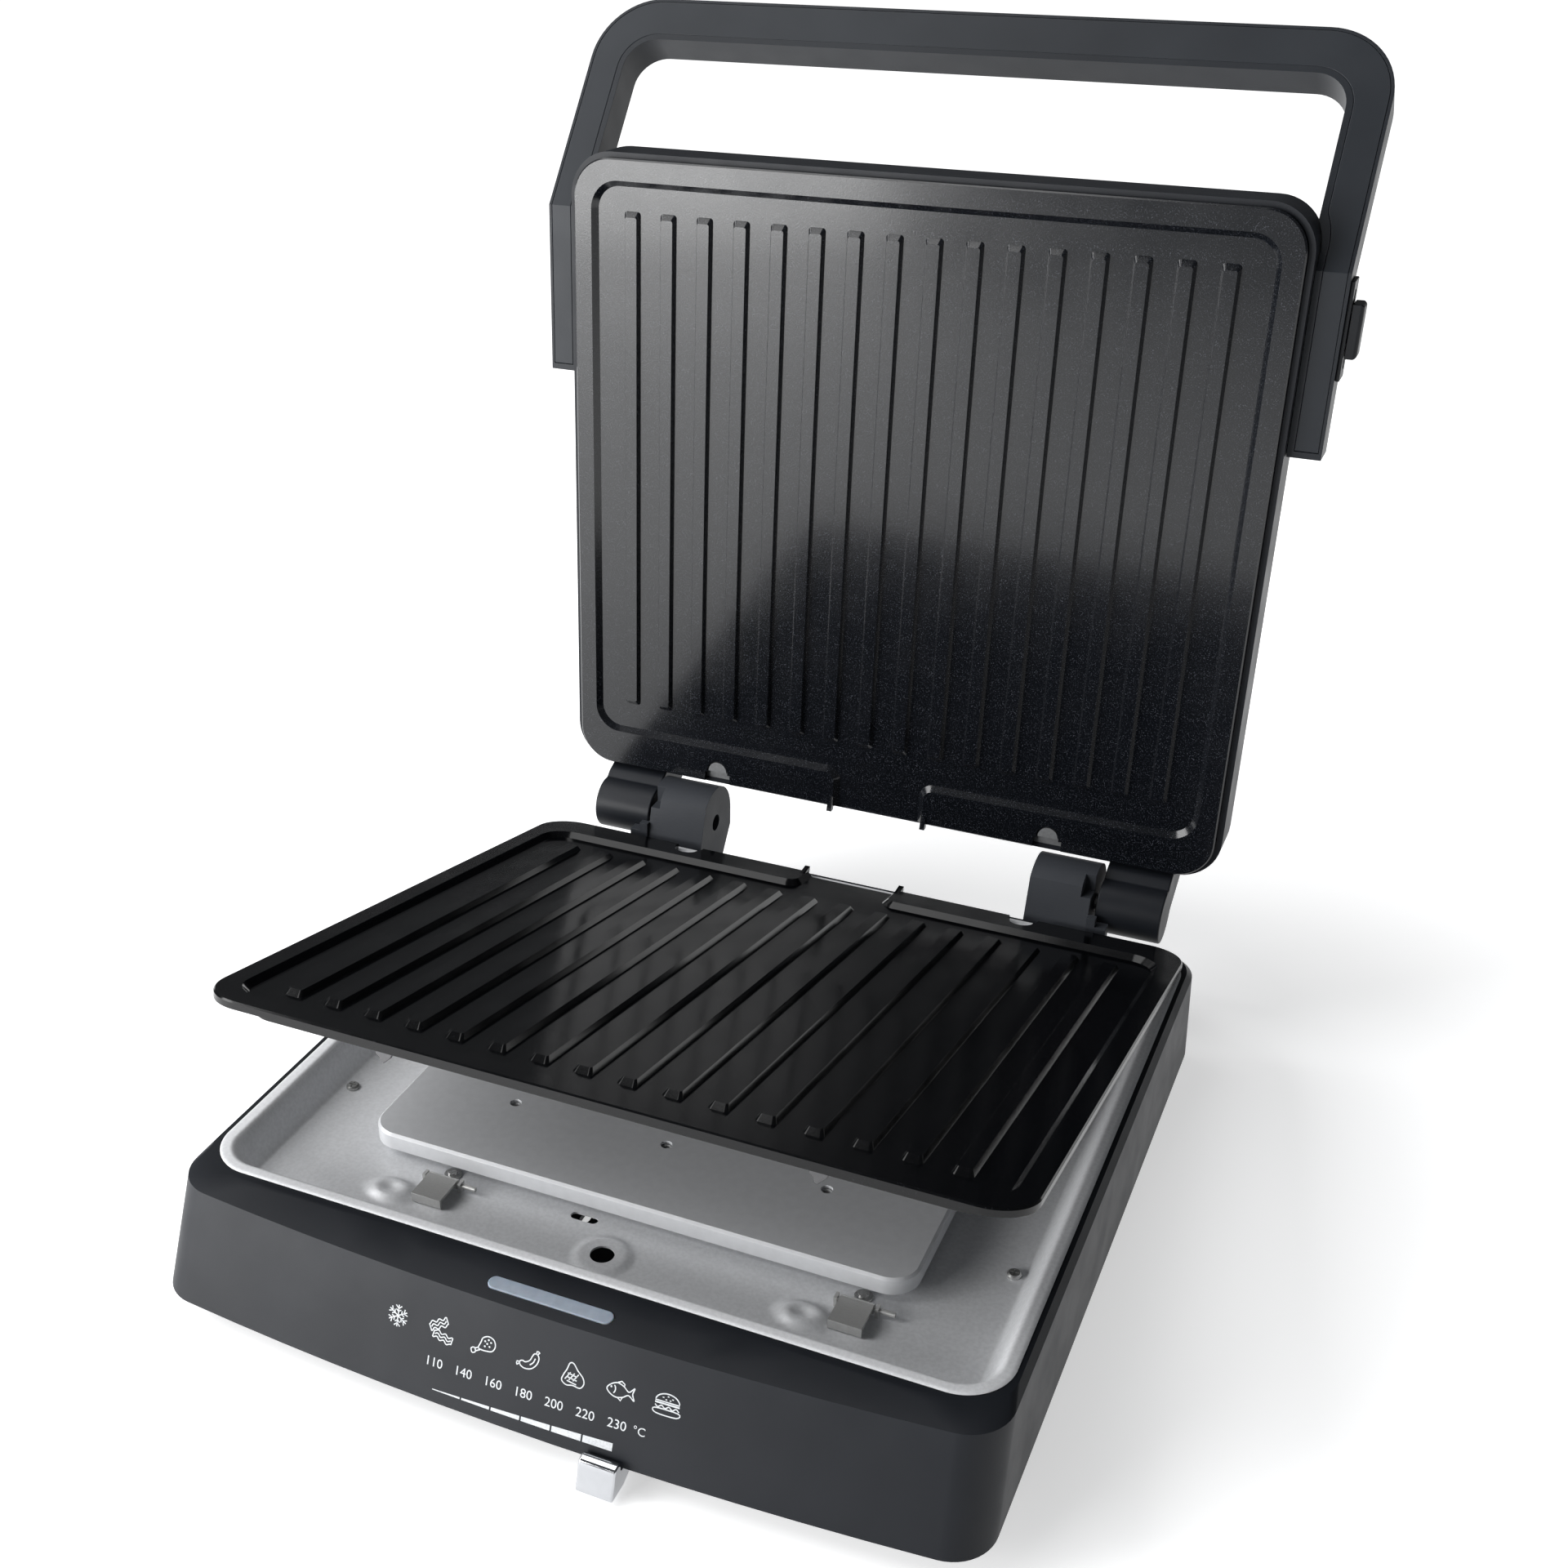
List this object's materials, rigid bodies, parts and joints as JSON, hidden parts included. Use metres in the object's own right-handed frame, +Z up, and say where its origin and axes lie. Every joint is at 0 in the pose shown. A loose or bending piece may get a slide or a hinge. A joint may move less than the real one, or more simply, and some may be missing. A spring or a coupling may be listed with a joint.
{
  "type": "panini press",
  "caption": "Open contact grill with two removable ribbed plates, hinged lid, bent carrying handle, heated trays and a slide temperature control.",
  "frame": {"origin": "middle of the whole outline, on the table", "axes": "+X to the user's right, +Y to the back, +Z up"},
  "size_m": [0.3488, 0.4561, 0.4139],
  "materials": {
    "housing_plastic": "fine textured matt charcoal",
    "hinge_plastic": "grained glass-filled plastic",
    "handle_plastic": "satin charcoal",
    "handle_cover": "satin charcoal",
    "lock_plastic": "matt",
    "plate_upper_coating": "speckled non-stick coating",
    "plate_lower_coating": "glossy non-stick coating",
    "tray_steel": "aluminised steel sheet, matt",
    "cast_aluminium": "satin",
    "heater_steel": "heat tinted",
    "ceramic": "matt",
    "screw_steel": "zinc plated",
    "latch_steel": "satin spring steel",
    "hook_steel": "dark spring steel",
    "light_diffuser": "frosted translucent",
    "circuit_board": "solder mask",
    "rubber": "matt",
    "knob_chrome": "satin chrome",
    "carriage_plastic": "matt",
    "drip_plastic": "matt"
  },
  "bodies": {
    "base": {"base_housing": "housing_plastic", "base_bottom_cover": "housing_plastic", "heat_tray_lower": "tray_steel", "tray_screws": "screw_steel", "heating_block_lower": "cast_aluminium", "heater_element_lower": "heater_steel", "block_standoffs_lower": "ceramic", "block_screws_lower": "screw_steel", "latch_rivets_lower": "screw_steel", "latch_pins_lower": "latch_steel", "light_bar": "light_diffuser", "indicator_board": "circuit_board", "bottom_screws": "screw_steel", "rubber_feet": "rubber", "cord_gland": "rubber", "terminal_block": "ceramic", "thermal_fuse": "ceramic", "thermostat": "carriage_plastic", "hinge_block_left": "hinge_plastic", "hinge_block_right": "hinge_plastic", "hinge_axle_left": "screw_steel", "hinge_axle_right": "screw_steel", "hinge_screws_left": "screw_steel", "hinge_screws_right": "screw_steel"},
    "lid": {"lid_housing": "housing_plastic", "heat_tray_upper": "tray_steel", "heating_block_upper": "cast_aluminium", "heater_element_upper": "heater_steel", "block_standoffs_upper": "ceramic", "block_screws_upper": "screw_steel", "latch_rivets_upper": "screw_steel", "latch_pins_upper": "latch_steel", "hinge_barrel_left": "housing_plastic", "hinge_barrel_right": "housing_plastic", "handle_frame": "handle_plastic", "handle_inlay": "handle_cover", "handle_screws": "screw_steel", "lock_plate": "lock_plastic"},
    "upper_plate": {"upper_plate": "plate_upper_coating", "plate_hooks_upper": "hook_steel"},
    "lower_plate": {"lower_plate": "plate_lower_coating", "plate_hooks_lower": "hook_steel"},
    "slider": {"slider_knob": "knob_chrome", "slider_carriage": "carriage_plastic"},
    "latch_lower_left": {"latch_lower_left": "latch_steel"},
    "latch_lower_right": {"latch_lower_right": "latch_steel"},
    "latch_upper_left": {"latch_upper_left": "latch_steel"},
    "latch_upper_right": {"latch_upper_right": "latch_steel"},
    "lock_slider": {"lock_slider": "lock_plastic"},
    "drip_tray": {"drip_tray": "drip_plastic"}
  },
  "joints": [
    {"name": "lid_hinge", "type": "hinge", "parent": "base", "child": "lid", "pos_m": [-0.0032, 0.1278, 0.057], "axis": [-1, 0, 0], "range_deg": [-93, 42]},
    {"name": "lower_plate_tilt", "type": "hinge", "parent": "base", "child": "lower_plate", "pos_m": [-0.0032, 0.1024, 0.0533], "axis": [-1, 0, 0], "range_deg": [-13.25, 6]},
    {"name": "upper_plate_tilt", "type": "hinge", "parent": "lid", "child": "upper_plate", "pos_m": [-0.0032, 0.1368, 0.07539], "axis": [1, 0, 0], "range_deg": [0, 12]},
    {"name": "temperature_slide", "type": "slide", "parent": "base", "child": "slider", "axis": [1, 0, 0], "range_m": [-0.066, 0]},
    {"name": "lock_slide", "type": "slide", "parent": "lid", "child": "lock_slider", "axis": [0, 0.0408, 0.9992], "range_m": [-0.008, 0.008]},
    {"name": "drip_tray_slide", "type": "slide", "parent": "base", "child": "drip_tray", "axis": [-1, 0, 0], "range_m": [0, 0.12]},
    {"name": "latch_lower_left_turn", "type": "hinge", "parent": "base", "child": "latch_lower_left", "pos_m": [-0.0757, -0.1462, 0.0416], "axis": [-1, 0, 0], "range_deg": [0, 18], "stiffness_Nm_per_rad": 0.02},
    {"name": "latch_lower_right_turn", "type": "hinge", "parent": "base", "child": "latch_lower_right", "pos_m": [0.0898, -0.1462, 0.0416], "axis": [-1, 0, 0], "range_deg": [0, 18], "stiffness_Nm_per_rad": 0.02},
    {"name": "latch_upper_left_turn", "type": "hinge", "parent": "lid", "child": "latch_upper_left", "pos_m": [-0.0962, 0.15815, 0.31862], "axis": [1, 0, 0], "range_deg": [0, 18], "stiffness_Nm_per_rad": 0.02},
    {"name": "latch_upper_right_turn", "type": "hinge", "parent": "lid", "child": "latch_upper_right", "pos_m": [0.0693, 0.15815, 0.31862], "axis": [1, 0, 0], "range_deg": [0, 18], "stiffness_Nm_per_rad": 0.02}
  ],
  "couplings": [
    {"joint": "lower_plate_tilt", "follows": "lid_hinge", "ratio": 0.14247}
  ]
}
